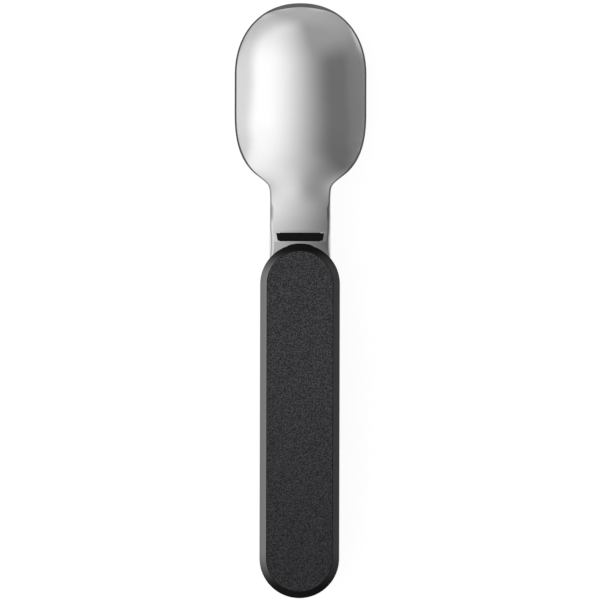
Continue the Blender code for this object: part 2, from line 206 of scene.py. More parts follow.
class Graph:
    """A node tree that starts empty."""

    def __init__(self, tree):
        self.tree = tree
        tree.nodes.clear()

    def add(self, kind, settings=None, sockets=None, output=0):
        """Add a node, set it up, fill or link its sockets and return one of its outputs."""
        node = self.tree.nodes.new(kind)
        for name, setting in (settings or {}).items():
            setattr(node, name, setting)
        for name, value in (sockets or {}).items():
            if isinstance(value, Value):
                self.tree.links.new(value.socket, node.inputs[name])
            else:
                node.inputs[name].default_value = value
        return Value(self, node.outputs[output]) if node.outputs else None


def grey(level):
    return (level, level, level, 1.0)


def new_material(name):
    material = bpy.data.materials.new(name)
    material.use_nodes = True
    return material, Graph(material.node_tree)


def piece_material(name):
    """A new material with its graph and the place on the piece."""
    material, graph = new_material(name)
    return material, graph, graph.add("ShaderNodeTexCoord", output="Object")


def along_spoon(graph, place):
    """The place along the spoon's length."""
    return graph.add("ShaderNodeSeparateXYZ", None, {"Vector": place}, "Y")


def tinted(graph, colour, share, factor):
    """A colour that goes from a little darker to a little lighter with a factor."""
    dark = tuple(channel * (1.0 - share) for channel in colour)
    light = tuple(channel * (1.0 + share) for channel in colour)
    mix_settings = {"data_type": "RGBA"}
    return graph.add("ShaderNodeMix", mix_settings, {0: factor, 6: (*dark, 1.0), 7: (*light, 1.0)}, 2)


def fade(value, start, end, low, high):
    """A level that goes smoothly from low to high while a value goes from start to end."""
    settings = {"interpolation_type": "SMOOTHSTEP"}
    share = value.graph.add("ShaderNodeMapRange", settings, {0: value, 1: start, 2: end})
    return share * (high - low) + low


def noise(graph, vector, size, detail=2.0, stretch=(1.0, 1.0, 1.0)):
    """Noise whose blobs are about one size across, longer along an axis with a small stretch."""
    scaled = graph.add("ShaderNodeMapping", None, {"Vector": vector, "Scale": stretch})
    return graph.add("ShaderNodeTexNoise", None, {"Vector": scaled, "Scale": 1.0 / size, "Detail": detail})


def shaded(graph, place, colour, painted_shades):
    """Painted shade: a colour that gets darker along the spoon, by a share from each start to its end."""
    along = along_spoon(graph, place)
    for start, end, shade in painted_shades:
        inputs = {0: fade(along, start, end, 0.0, 1.0), 6: colour, 7: grey(shade)}
        colour = graph.add("ShaderNodeMix", {"data_type": "RGBA", "blend_type": "MULTIPLY"}, inputs, 2)
    return colour


def steel_shader(graph, place, colour, roughness, streak_length, painted_shades=(), graze=1.0):
    """Polished steel with faint lengthwise marks, a cloudy sheen and, where given, painted shade along the
    spoon.
    """
    mark_width, mark_depth, mark_strength, mark_blur = 0.12 * MM, 0.02 * MM, 0.04, 0.08
    cloud_size, cloud_share, cloud_blur = 6.0 * MM, 0.03, 0.05
    marks = noise(graph, place, mark_width, detail=3.0, stretch=(1.0, mark_width / streak_length, 1.0))
    cloud = noise(graph, place, cloud_size)
    bump = graph.add(
        "ShaderNodeBump", None, {"Height": marks, "Strength": mark_strength, "Distance": mark_depth}
    )
    return graph.add(
        "ShaderNodeBsdfPrincipled",
        None,
        {
            "Base Color": shaded(graph, place, tinted(graph, colour, cloud_share, cloud), painted_shades),
            "Specular Tint": grey(graze),
            "Metallic": 1.0,
            "Roughness": roughness + (marks - 0.5) * mark_blur + (cloud - 0.5) * cloud_blur,
            "Normal": bump,
        },
    )


def steel_material(name, *look):
    material, graph, place = piece_material(name)
    graph.add("ShaderNodeOutputMaterial", None, {"Surface": steel_shader(graph, place, *look)})
    return material


def rim_steel(name, drawn_look, painted_rim_look):
    """Steel whose rim is painted dark round the bowl and less so along the neck, a painted shade for the
    dark reflections at those edges, and as drawn at the hinge.
    """
    material, graph, place = piece_material(name)
    along = along_spoon(graph, place)
    stem, neck, shoulder, bowl, neck_share = 20.0 * MM, 23.0 * MM, 29.0 * MM, 35.0 * MM, 0.6
    share = fade(along, stem, neck, 0.0, neck_share) + fade(along, shoulder, bowl, 0.0, 1.0 - neck_share)
    drawn, painted = (steel_shader(graph, place, *look) for look in (drawn_look, painted_rim_look))
    surface = graph.add("ShaderNodeMixShader", None, {0: share, 1: drawn, 2: painted})
    graph.add("ShaderNodeOutputMaterial", None, {"Surface": surface})
    return material


def plastic_shader(
    graph, place, colour, grain_size, grain_depth, roughness, specular, index=1.5, contrast=0.25, painted_shades=()
):
    """Moulded plastic with a fine pebbled grain and, where given, painted shade along the spoon."""
    valley, peak, grain_blur = 0.3, 0.7, 0.2
    cloud_size, cloud_blur = 9.0 * MM, 0.06
    grain = fade(noise(graph, place, grain_size, detail=3.0), valley, peak, 0.0, 1.0)
    cloud = noise(graph, place, cloud_size)
    bump = graph.add("ShaderNodeBump", None, {"Height": grain, "Strength": 1.0, "Distance": grain_depth})
    return graph.add(
        "ShaderNodeBsdfPrincipled",
        None,
        {
            "Base Color": shaded(graph, place, tinted(graph, colour, contrast, grain), painted_shades),
            "Roughness": roughness + (grain - 0.5) * grain_blur + (cloud - 0.5) * cloud_blur,
            "Specular IOR Level": specular,
            "IOR": index,
            "Normal": bump,
        },
    )


def grained_plastic(name, colour, *look, **finish):
    material, graph, place = piece_material(name)
    surface = plastic_shader(graph, place, colour, *look, **finish)
    graph.add("ShaderNodeOutputMaterial", None, {"Surface": surface})
    return material


def border_plastic(name, colour):
    """Black plastic that is satin along the handle's straight sides and dull round its ends."""
    material, graph, place = piece_material(name)
    satin = plastic_shader(graph, place, colour, *SATIN_LOOK)
    dull = plastic_shader(graph, place, colour, *DULL_LOOK)
    along = along_spoon(graph, place)
    hinge_arc, butt_arc = BACK_HIGH.y - HANDLE_HALF, BACK_LOW.y + HANDLE_HALF
    hinge_turn = (hinge_arc + 2.0 * MM, hinge_arc + 9.5 * MM)
    butt_turn = (butt_arc + 2.5 * MM, butt_arc - 8.0 * MM)
    ends = fade(along, *hinge_turn, 0.0, 1.0) + fade(along, *butt_turn, 0.0, 1.0)
    surface = graph.add("ShaderNodeMixShader", None, {0: ends, 1: satin, 2: dull})
    graph.add("ShaderNodeOutputMaterial", None, {"Surface": surface})
    return material


def finish_piece(piece, node, body, materials):
    """Give a piece its materials and put it in the place of its solid."""
    for material in materials:
        piece.data.materials.append(material)
    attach(piece, body)
    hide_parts(node)


def make_piece(name, bm):
    bmesh.ops.recalc_face_normals(bm, faces=bm.faces)
    mesh = bpy.data.meshes.new(name)
    bm.to_mesh(mesh)
    bm.free()
    mesh.shade_smooth()
    piece = bpy.data.objects.new(name, mesh)
    bpy.context.scene.collection.objects.link(piece)
    return piece


def soften(piece, width, segments=2, angle=40.0):
    """Round the edges that turn by more than an angle."""
    bevel = piece.modifiers.new("soften", "BEVEL")
    bevel.width = width
    bevel.segments = segments
    bevel.limit_method = "ANGLE"
    bevel.angle_limit = math.radians(angle)
    bevel.harden_normals = True


def bake_modifiers(piece):
    """Keep the evaluated mesh as the piece's own."""
    bpy.context.view_layer.update()
    evaluated = piece.evaluated_get(bpy.context.evaluated_depsgraph_get())
    mesh = bpy.data.meshes.new_from_object(evaluated)
    piece.modifiers.clear()
    piece.data = mesh


def cut(piece, bm, operation="DIFFERENCE"):
    """Take a closed shape away from a piece, or join it to the piece with UNION."""
    tool = make_piece(piece.name + "_tool", bm)
    modifier = piece.modifiers.new("cut", "BOOLEAN")
    modifier.operation = operation
    modifier.solver = "EXACT"
    modifier.object = tool
    bake_modifiers(piece)
    bpy.data.objects.remove(tool, do_unlink=True)


def loft(loops, closed=True, finishes=None):
    """Skin point loops of equal length, with a face on each end and a finish for each band between."""
    bm = bmesh.new()
    rings = [[bm.verts.new(point) for point in loop] for loop in loops]
    for band, (lower, upper) in enumerate(zip(rings, rings[1:])):
        for i in range(len(lower)):
            j = (i + 1) % len(lower)
            face = bm.faces.new((lower[i], lower[j], upper[j], upper[i]))
            face.material_index = finishes[band] if finishes else 0
    if closed:
        bm.faces.new(rings[0][::-1])
        bm.faces.new(rings[-1])
    return bm


def box(low, high):
    outline = [(low[0], low[1]), (high[0], low[1]), (high[0], high[1]), (low[0], high[1])]
    return loft([[(x, y, z) for x, y in outline] for z in (low[2], high[2])])


def arc(centre, radius, start, end, steps):
    angles = [math.radians(start + (end - start) * i / steps) for i in range(steps + 1)]
    return [(centre[0] + radius * math.cos(a), centre[1] + radius * math.sin(a)) for a in angles]


def turned(profile, steps=64):
    """Loops of a round piece on the pin's axis from (x, radius) pairs."""
    circle = arc((0.0, 0.0), 1.0, 0.0, 360.0, steps)[:-1]
    return [[(x, PIVOT.y + r * c, PIVOT.z + r * s) for c, s in circle] for x, r in profile]


def pin_hole(reach):
    """The space that the pin needs, to a reach on either side of the middle."""
    radius = PIN_RADIUS + CLEARANCE
    return loft(turned(((-reach, radius), (reach, radius))))


def arc_drop(across, run, fall, cap):
    """Drop of an arc that falls a height over a run and goes on straight from the cap's slope."""
    radius = (run * run + fall * fall) / (2.0 * fall)
    if run > radius * math.sin(cap):
        radius = (run * math.tan(cap) - fall) / (1.0 / math.cos(cap) - 1.0)
    curved = min(across, radius * math.sin(cap))
    return radius - math.sqrt(radius * radius - curved * curved) + (across - curved) * math.tan(cap)


def smooth_step(low, high, value):
    share = min(max((value - low) / (high - low), 0.0), 1.0)
    return share * share * (3.0 - 2.0 * share)


def mix(a, b, share):
    return a + (b - a) * share


class HeadForm:
    """The drawn head: a domed sheet with its edge turned down, at a distance s from the bowl's tip."""

    # Outline: how full the tip and the shoulders are, half widths of the stem and how the two blend
    TIP_FULLNESS = 2.15
    SHOULDER_FULLNESS = 2.6
    SHOULDER_TURN = 0.858
    NECK_HALF = 8.1 * MM
    FLARE_HALF = 8.3 * MM
    FLANGE_TAPER = 6.0 * MM
    NECK_BLEND = 1.25 * MM
    NECK_FADE = 5.0 * MM
    # Crown and dome: heights over the stem and the edges, the steepest slopes and the neck's saddle
    BOWL_CROWN = 1.2 * MM
    WEB_DOME = 1.0 * MM
    DOME_FADE = 8.0 * MM
    TIP_CAP = math.radians(40.0)
    SIDE_CAP = math.radians(40.0)
    SADDLE = 0.85
    SADDLE_RISE = 7.0 * MM
    SADDLE_FALL = 6.5 * MM
    # Edge that is turned down: drops, slopes and widths, and its bend with the largest shares it takes
    BOWL_SKIRT = 1.0 * MM
    NECK_SKIRT = 0.9 * MM
    NECK_RISE = 13.6 * MM
    TIP_SPAN = 3.2 * MM
    TIP_SLOPE = math.radians(42.0)
    SIDE_SLOPE = math.radians(73.0)
    NECK_WIDTH = 0.1 * MM
    FLANGE_WIDTH = 0.45 * MM
    BOWL_BEND = 0.26 * MM
    STEM_BEND = 0.85 * MM
    BEND_ACROSS = 0.35
    BEND_DOWN = 0.45
    # Hinge ears and the end of the web between them
    EAR_RADIUS = 3.4 * MM
    EAR_HALF = 7.7 * MM
    WEB_TAIL = 1.5 * MM
    # Slot, with the rolled lip above it and the dip below
    SLOT_HALF = 6.45 * MM
    SLOT_FOOT = 6.05 * MM
    SLOT_CORNER = 0.6 * MM
    SLOT_LAND = 0.75 * MM
    SLOT_HEIGHT = 2.32 * MM
    SIDE_LAND = 0.2 * MM
    LIP_REACH = 1.3 * MM
    LIP_DROP = 0.36 * MM
    DIP_REACH = 1.6 * MM
    DIP_DROP = 0.15 * MM
    # Mesh: faces over the slot, beside it, round the bend and down the edge, and the smallest steps
    ZONES = (14, 4, 8, 8)
    ZONE_SHIFT = 3.0 * MM
    PROBE = 0.01 * MM
    LEAST_DOME = 1e-7

    def __init__(self, settings):
        self.tip_y = HEAD_HIGH.y
        self.bowl_half = HEAD_HIGH.x
        self.tip_length = settings.tip_length
        self.shoulder_at = settings.tip_length + settings.straight
        self.shoulder = settings.shoulder
        self.bowl_end = self.shoulder_at + settings.shoulder
        self.web_top = settings.web_top
        self.apex = settings.web_top + self.BOWL_CROWN
        self.rim = settings.rim_height + settings.sheet * math.cos(self.SIDE_SLOPE)
        self.hinge_end = BACK_HIGH.y
        self.slot_low = self.hinge_end + self.SLOT_LAND
        self.slot_high = self.slot_low + self.SLOT_HEIGHT
        self.flange_full = INSERT_HIGH.y + CLEARANCE
        self.flange_start = self.flange_full + self.FLANGE_TAPER
        self.ear_front = PIVOT.y + self.EAR_RADIUS
        self.web_end = PIVOT.y + self.WEB_TAIL
        self.ear_depth = self.web_top - PIVOT.z + self.EAR_RADIUS

    def bowl_half_width(self, s):
        """Half width of a round tip, straight sides and round shoulders that end in a straight slope."""
        if s < self.tip_length:
            share, power = 1.0 - s / self.tip_length, self.TIP_FULLNESS
            return self.bowl_half * max(1.0 - share**power, 0.0) ** (1.0 / power)
        share, power = max(s - self.shoulder_at, 0.0) / self.shoulder, self.SHOULDER_FULLNESS
        turn = min(share, self.SHOULDER_TURN)
        rest = 1.0 - turn**power
        slope = turn ** (power - 1.0) * rest ** (1.0 / power - 1.0)
        return self.bowl_half * (rest ** (1.0 / power) - slope * (share - turn))

    def stem_half_width(self, y):
        flared = 1.0 - smooth_step(self.hinge_end, self.flange_start, y)
        drawn_in = 1.0 - smooth_step(self.ear_front, (self.ear_front + self.hinge_end) / 2, y)
        return mix(mix(self.NECK_HALF, self.FLARE_HALF, flared), self.EAR_HALF, drawn_in)

    def half_width(self, s):
        if s < self.shoulder_at:
            return self.bowl_half_width(s)
        rising = smooth_step(self.shoulder_at, self.bowl_end, s)
        fading = 1.0 - smooth_step(self.bowl_end, self.bowl_end + self.NECK_FADE, s)
        bowl, stem = self.bowl_half_width(s), self.stem_half_width(self.tip_y - s)
        return (bowl + stem + math.hypot(bowl - stem, self.NECK_BLEND * rising * fading)) / 2

    def crown(self, s):
        """Height of the middle line, round and then straight towards the tip."""
        if s < self.tip_length:
            run = self.tip_length - self.BOWL_SKIRT / math.tan(self.TIP_SLOPE)
            fall = self.apex - self.rim - self.BOWL_SKIRT
            return self.apex - arc_drop(min(self.tip_length - s, run), run, fall, self.TIP_CAP)
        y = self.tip_y - s
        stem = self.web_top - self.dip(y)
        return mix(self.apex, stem, smooth_step(self.tip_length, self.bowl_end, s)) - self.lip(y)

    def lip(self, y):
        """How far the middle of the web is rolled down at the slot's upper edge."""
        return self.LIP_DROP * max(1.0 - abs(y - self.slot_high) / self.LIP_REACH, 0.0) ** 2

    def dip(self, y):
        """How far the web goes down towards the handle."""
        return self.DIP_DROP * smooth_step(0.0, self.DIP_REACH, self.slot_low - y)

    def upright(self, y):
        """How much the stem's sides stand straight, as they do at the ears."""
        return 1.0 - smooth_step(self.ear_front, self.hinge_end, y)

    def skirt(self, s):
        """Drop, width and bend of the edge that is turned down."""
        y = self.tip_y - s
        side = smooth_step(0.0, self.TIP_SPAN, s)
        neck = smooth_step(self.bowl_end - self.NECK_RISE, self.bowl_end, s)
        ears = 1.0 - smooth_step(self.flange_full, self.flange_start, y)
        flange = self.ear_depth - self.dip(y) - self.WEB_DOME * (1.0 - self.upright(y))
        drop = mix(mix(self.BOWL_SKIRT, self.NECK_SKIRT, neck), flange, ears)
        bowl_width = self.BOWL_SKIRT / math.tan(mix(self.TIP_SLOPE, self.SIDE_SLOPE, side))
        spread = 1.0 - smooth_step(self.slot_low, self.flange_full, y)
        width = mix(mix(bowl_width, self.NECK_WIDTH, neck), self.FLANGE_WIDTH, spread)
        return drop, width * (1.0 - self.upright(y)), mix(self.BOWL_BEND, self.STEM_BEND, neck)

    def edge(self, s):
        """The top and the foot of the turned-down edge."""
        half = self.half_width(s)
        before, after = max(s - self.PROBE, 0.0), s + self.PROBE
        rise = (self.half_width(after) - self.half_width(before)) / (after - before)
        neck_start, neck_end = self.bowl_end - self.NECK_RISE / 2, self.bowl_end - self.NECK_BLEND / 2
        rise *= 1.0 - smooth_step(neck_start, neck_end, s)
        length = math.hypot(1.0, rise)
        drop, width, _ = self.skirt(s)
        y = self.tip_y - s
        flat = smooth_step(self.shoulder_at + self.DOME_FADE, self.bowl_end, s)
        stem_z = self.crown(s) + self.lip(y) - self.WEB_DOME * (1.0 - self.upright(y))
        z = mix(self.rim + drop, stem_z, flat)
        top = Vector((max(half - width / length, 0.0), y - width * rise / length, z))
        return top, Vector((half, y, z - drop))

    def slot_half(self, y):
        """Half width of the slot, narrower and rounded at the end near the handle."""
        above = y - self.slot_low
        if above < 0.0:
            widening = smooth_step(0.0, 2 * self.SLOT_CORNER, -above)
            return self.SLOT_FOOT - self.SLOT_CORNER * (1.0 - widening)
        half = mix(self.SLOT_FOOT, self.SLOT_HALF, min(above / self.SLOT_HEIGHT, 1.0))
        left = max(self.SLOT_CORNER - above, 0.0)
        return half - self.SLOT_CORNER + math.sqrt(self.SLOT_CORNER**2 - left * left)

    def half_row(self, s):
        """Points from the middle line to the right edge."""
        top, foot = self.edge(s)
        crown = self.crown(self.tip_y - top.y)
        dome = max(crown - top.z, self.LEAST_DOME)
        slant = (foot - top).length
        bend = min(self.skirt(s)[2], top.x * self.BEND_ACROSS, slant * self.BEND_DOWN)
        end_x = top.x - bend * math.cos(min(2.0 * math.atan2(dome, top.x), self.SIDE_CAP))
        middle, outer, corner, flange = self.ZONES
        bowl_x = end_x * middle / (middle + outer)
        stem_x = min(self.slot_half(top.y), end_x - self.SIDE_LAND)
        shift = smooth_step(self.bowl_end - self.ZONE_SHIFT, self.bowl_end + self.ZONE_SHIFT, s)
        inner_x = mix(bowl_x, stem_x, shift)
        across = [inner_x * i / middle for i in range(middle + 1)]
        across += [mix(inner_x, end_x, i / outer) for i in range(1, outer + 1)]
        saddle = self.saddle(self.tip_y - top.y)
        row = [Vector((x, top.y, crown - self.fall(x, top.x, dome, saddle))) for x in across]
        start, end = row[-1], top.lerp(foot, bend / slant)
        turns = [i / corner for i in range(1, corner + 1)]
        row += [start.lerp(top, t).lerp(top.lerp(end, t), t) for t in turns]
        return row + [end.lerp(foot, i / flange) for i in range(1, flange + 1)]

    def fall(self, x, half, dome, saddle):
        """Drop from the middle line: an arc, or with a saddle a wave that is flat at the edge."""
        wave = dome * smooth_step(0.0, max(half, MM), x)
        return mix(arc_drop(x, half, dome, self.SIDE_CAP), wave, saddle)

    def saddle(self, s):
        """How much the neck's sides flatten out towards their edges."""
        rising = smooth_step(self.bowl_end - self.SADDLE_RISE, self.bowl_end, s)
        falling = 1.0 - smooth_step(self.bowl_end, self.bowl_end + self.SADDLE_FALL, s)
        return self.SADDLE * rising * falling

    def stations(self):
        """Distances from the tip, close together where the outline turns fast."""
        quarter, power = math.pi / 2, 2.0 / self.TIP_FULLNESS
        tip_steps, straight_steps, shoulder_steps, stem_steps, slot_steps = 56, 16, 72, 48, 5
        turns = [quarter * i / tip_steps for i in range(tip_steps)]
        made = [self.tip_length * (1.0 - math.cos(turn) ** power) for turn in turns]
        made += [mix(self.tip_length, self.shoulder_at, i / straight_steps) for i in range(straight_steps)]
        made += [mix(self.shoulder_at, self.bowl_end, i / shoulder_steps) for i in range(shoulder_steps)]
        high, low = self.tip_y - self.slot_high, self.tip_y - self.slot_low
        made += [mix(self.bowl_end, high, i / stem_steps) for i in range(stem_steps)]
        made += [mix(high, low - self.SLOT_CORNER, i / slot_steps) for i in range(slot_steps)]
        turns = [quarter * i / slot_steps for i in range(slot_steps)]
        made += [low - self.SLOT_CORNER * (1.0 - math.sin(turn)) for turn in turns]
        return made + [mix(low, self.tip_y - self.web_end, i / stem_steps) for i in range(stem_steps + 1)]

    def ear_rows(self, top, steps=20):
        """Rows of (y, z) down each ear, from the end of the web round the pin."""
        flange_steps = self.ZONES[-1]
        rows = []
        for i in range(steps):
            turn = math.pi / 2 * i / steps
            y, half = PIVOT.y - self.EAR_RADIUS * math.sin(turn), self.EAR_RADIUS * math.cos(turn)
            high, low = min(top, PIVOT.z + half), PIVOT.z - half
            rows.append([(y, mix(high, low, j / flange_steps)) for j in range(flange_steps + 1)])
        return rows

    def sheet_mesh(self):
        """The upper skin with the slot left open."""
        bm = bmesh.new()
        first, last, last_y = None, None, self.tip_y
        middle, _, corner, flange = self.ZONES
        centre = sum(self.ZONES)
        for s in self.stations():
            right = self.half_row(s)
            row = [Vector((-point.x, point.y, point.z)) for point in right[:0:-1]] + right
            verts = [bm.verts.new(point) for point in row]
            y = right[0].y
            in_slot = self.slot_low < (y + last_y) / 2 < self.slot_high
            for i in range(len(row) - 1):
                out = abs(i + 0.5 - centre)
                if not last or (in_slot and out < middle):
                    continue
                face = bm.faces.new((last[i], verts[i], verts[i + 1], last[i + 1]))
                face.material_index = int(out > centre - flange - corner)
            first, last, last_y = first or verts, verts, y
        self.add_ears(bm, last)
        bmesh.ops.remove_doubles(bm, verts=first, dist=MERGE)
        loose = [vert for vert in bm.verts if not vert.link_faces]
        bmesh.ops.delete(bm, geom=loose, context="VERTS")
        return bm

    def add_ears(self, bm, last):
        """Carry the last row's flanges on round the pin."""
        kept = self.ZONES[-1] + 1
        rows = self.ear_rows(last[-kept].co.z)
        for side, near in ((-1.0, last[:kept][::-1]), (1.0, last[-kept:])):
            for row in rows:
                verts = [bm.verts.new((side * self.EAR_HALF, y, z)) for y, z in row]
                for i in range(kept - 1):
                    bm.faces.new((near[i], verts[i], verts[i + 1], near[i + 1]))
                near = verts


class SPOON_OT_head(bpy.types.Operator):
    """Draw the steel bowl, neck and flanged stem with its hinge ears"""

    bl_idname = "spoon.head"
    bl_label = "Steel head"

    EDGE_RADIUS = 0.18 * MM
    HOLE_REACH = HeadForm.EAR_HALF + 2.0 * MM
    STREAK, GROUND_STREAK = 4.0 * MM, 1.0 * MM
    GROUND_ROUGHNESS, GROUND_GRAZE = 0.2, 0.35
    # Start, end and share of the painted shade along the bowl and the stem, and of the painted shadow of the
    # handle's edge on the strip below the slot
    BOWL_SHADE = (50.0 * MM, 34.0 * MM, 0.88)
    STEM_SHADE = (26.0 * MM, 18.0 * MM, 0.78)
    LAND_SHADE = (15.9 * MM, 15.5 * MM, 0.72)

    def execute(self, context):
        settings = context.scene.spoon_head
        head = make_piece("steel_head", HeadForm(settings).sheet_mesh())
        if head.data.polygons[0].normal.z < 0.0:
            head.data.flip_normals()
        sheet = head.modifiers.new("sheet", "SOLIDIFY")
        sheet.thickness = settings.sheet
        sheet.offset = -1.0
        sheet.use_even_offset = True
        sheet.use_quality_normals = True
        soften(head, self.EDGE_RADIUS, segments=3, angle=50.0)
        bake_modifiers(head)
        cut(head, pin_hole(self.HOLE_REACH))
        painted_shades = (self.BOWL_SHADE, self.STEM_SHADE)
        drawn = (settings.colour, settings.roughness, self.STREAK)
        # The rim's darker colour is painted shade for the dark reflections round the bowl's edge and along
        # the neck
        dark = [channel * settings.rim_painted_shade for channel in settings.colour]
        painted = (dark, self.GROUND_ROUGHNESS, self.GROUND_STREAK, (), self.GROUND_GRAZE)
        steel = steel_material("drawn_steel", *drawn, (*painted_shades, self.LAND_SHADE))
        rim = rim_steel("painted_rim_steel", (*drawn, painted_shades), painted)
        finish_piece(head, "spoon_head", "head", [steel, rim])
        return {"FINISHED"}


class SPOON_OT_insert(bpy.types.Operator):
    """Mould the black hinge block with the rib that fills the slot"""

    bl_idname = "spoon.insert"
    bl_label = "Hinge insert"

    BODY_HALF = 5.4 * MM
    NOSE_SLANT = 3.0 * MM
    HOLE_REACH = 8.0 * MM
    EDGE_RADIUS = 0.2 * MM
    RIB_GAP = 0.06 * MM
    RIB_SINK = 0.6 * MM
    COLOUR = (0.003, 0.003, 0.003)

    def execute(self, context):
        hub, hub_steps = PIVOT.y - INSERT_LOW.y, 40
        flat, nose = PIVOT.z - INSERT_LOW.z, INSERT_HIGH.y
        turn = math.degrees(math.asin(flat / hub))
        profile = arc((PIVOT.y, PIVOT.z), hub, 180.0 - turn, 180.0 + turn, hub_steps)
        profile += [(nose - self.NOSE_SLANT, PIVOT.z - flat), (nose, PIVOT.z), (nose, PIVOT.z + flat)]
        sides = (-self.BODY_HALF, self.BODY_HALF)
        insert = make_piece("slot_insert", loft([[(x, y, z) for y, z in profile] for x in sides]))
        cut(insert, self.rib(context.scene.spoon_head), "UNION")
        cut(insert, pin_hole(self.HOLE_REACH))
        soften(insert, self.EDGE_RADIUS, segments=3)
        bake_modifiers(insert)
        plastic = grained_plastic("insert_plastic", self.COLOUR, *INSERT_LOOK)
        finish_piece(insert, "hinge_insert", "head", [plastic])
        return {"FINISHED"}

    def rib(self, settings):
        """The rib follows the slot's outline, a little smaller all round."""
        form, gap, steps = HeadForm(settings), self.RIB_GAP, 16
        low, high = form.slot_low + gap, form.slot_high - gap
        levels = [mix(low, high, i / steps) for i in range(steps + 1)]
        right = [(form.slot_half(y - gap) - gap, y) for y in levels]
        outline = right + [(-x, y) for x, y in right[::-1]]
        return loft([[(x, y, z) for x, y in outline] for z in (PIVOT.z, INSERT_HIGH.z - self.RIB_SINK)])


def handle_outline(inset, steps=48):
    """The handle's stadium, drawn in by an inset."""
    top = arc((0.0, BACK_HIGH.y - HANDLE_HALF), HANDLE_HALF - inset, 0.0, 180.0, steps)
    return top + arc((0.0, BACK_LOW.y + HANDLE_HALF), HANDLE_HALF - inset, 180.0, 360.0, steps)


def border_profile(settings):
    """Pairs of inset and height for the border, and for the ledge from it up to the flat face."""
    radius, slope, steps = settings.edge_radius, settings.chamfer_slope, 6
    tilt, steep = math.degrees(slope), 55.0
    height = settings.ledge + settings.chamfer * math.tan(slope)
    outer_reach = radius * math.tan(math.radians(90.0 - tilt) / 2)
    inner_reach = radius * math.tan(math.radians(steep) / 2)
    run = settings.ledge / math.tan(math.radians(steep))
    border = arc((radius, -height - outer_reach), radius, 180.0, 90.0 + tilt, steps)
    # A second row close to the ledge's foot keeps the smooth shading of the border flat
    hold = 0.02 * MM
    for back in (hold, 0.0):
        border.append((settings.chamfer - back, -settings.ledge - back * math.tan(slope)))
    ledge = arc((settings.chamfer + run + inner_reach, -radius), radius, 90.0 + steep, 90.0, steps)
    return border, ledge


def seam_edge(radius):
    """Pairs of inset and height for the rounded rim at the seam."""
    rim, steps = 4 * radius, 3
    return [(rim, -radius)] + arc((radius, 0.0), radius, 270.0, 180.0, steps)


def shell_mesh(settings, seam, face):
    """A shell from its seam to its flat face, which may lie above or below the seam."""
    side = 1.0 if face > seam else -1.0
    seam_radius, face_margin = 0.12 * MM, 0.5 * MM
    border, ledge = border_profile(settings)
    profile = [(inset, seam + side * (height + seam_radius)) for inset, height in seam_edge(seam_radius)]
    profile += [(inset, face + side * height) for inset, height in border]
    finishes = [SATIN] * (len(profile) - 1) + [LEDGE] * len(ledge) + [GRAIN]
    profile += [(inset, face + side * height) for inset, height in ledge]
    profile.append((profile[-1][0] + face_margin, face))
    loops = [[(x, y, z) for x, y in handle_outline(inset)] for inset, z in profile]
    return loft(loops, finishes=finishes)


class SPOON_OT_handle(bpy.types.Operator):
    """Mould the two shells of the handle with their grain and satin borders"""

    bl_idname = "spoon.handle"
    bl_label = "Handle shells"

    GRAIN_DEPTH, GRAIN_ROUGHNESS, GRAIN_SPECULAR, GRAIN_CONTRAST = 0.12 * MM, 0.55, 0.1, 0.8
    # Start, end and share of the painted shade that darkens the plastic towards the butt
    BUTT_SHADE = (BACK_HIGH.y - 23.0 * MM, BACK_LOW.y, 0.68)
    MARGIN = 3.0 * MM
    SPRING_SEAT = 11.0 * MM
    MOUTH_EDGE = 0.15 * MM

    def execute(self, context):
        settings = context.scene.spoon_handle
        look = (settings.grain_size, self.GRAIN_DEPTH, self.GRAIN_ROUGHNESS, self.GRAIN_SPECULAR)
        finish = {"contrast": self.GRAIN_CONTRAST, "painted_shades": (self.BUTT_SHADE,)}
        grain = grained_plastic("handle_grain", settings.colour, *look, **finish)
        satin = border_plastic("handle_border", settings.border_colour)
        ledge = grained_plastic("handle_ledge", settings.border_colour, *DULL_LOOK)
        materials = [grain, satin, ledge]
        plate_under = FRONT_HIGH.z + CLEARANCE
        back = make_piece("back_shell", shell_mesh(settings, plate_under, BACK_HIGH.z))
        front = make_piece("front_shell", shell_mesh(settings, FRONT_HIGH.z, FRONT_LOW.z))
        self.open_mouth(front)
        finish_piece(back, "handle_back_shell", "handle", materials)
        finish_piece(front, "handle_front_shell", "handle", materials)
        return {"FINISHED"}

    def open_mouth(self, front):
        """Cut the mouth that the stem folds into, the seat of the spring and the pin's holes."""
        mouth_x, seat_x = WASHER_HIGH.x + CLEARANCE, SPRING_HIGH.x + CLEARANCE
        mouth_end = SPRING_LOW.y + self.SPRING_SEAT
        ahead, side = BACK_HIGH.y + self.MARGIN, HANDLE_HALF + self.MARGIN
        seat_low = (-seat_x, SPRING_LOW.y - CLEARANCE, SPRING_LOW.z - CLEARANCE)
        cut(front, box((-mouth_x, mouth_end, -self.MARGIN), (mouth_x, ahead, BACK_HIGH.z)))
        cut(front, box((-side, FRONT_HIGH.y, -self.MARGIN), (side, ahead, BACK_HIGH.z)))
        cut(front, box(seat_low, (seat_x, mouth_end + self.MARGIN, BACK_HIGH.z)))
        cut(front, pin_hole(side))
        soften(front, self.MOUTH_EDGE, angle=50.0)
        bake_modifiers(front)


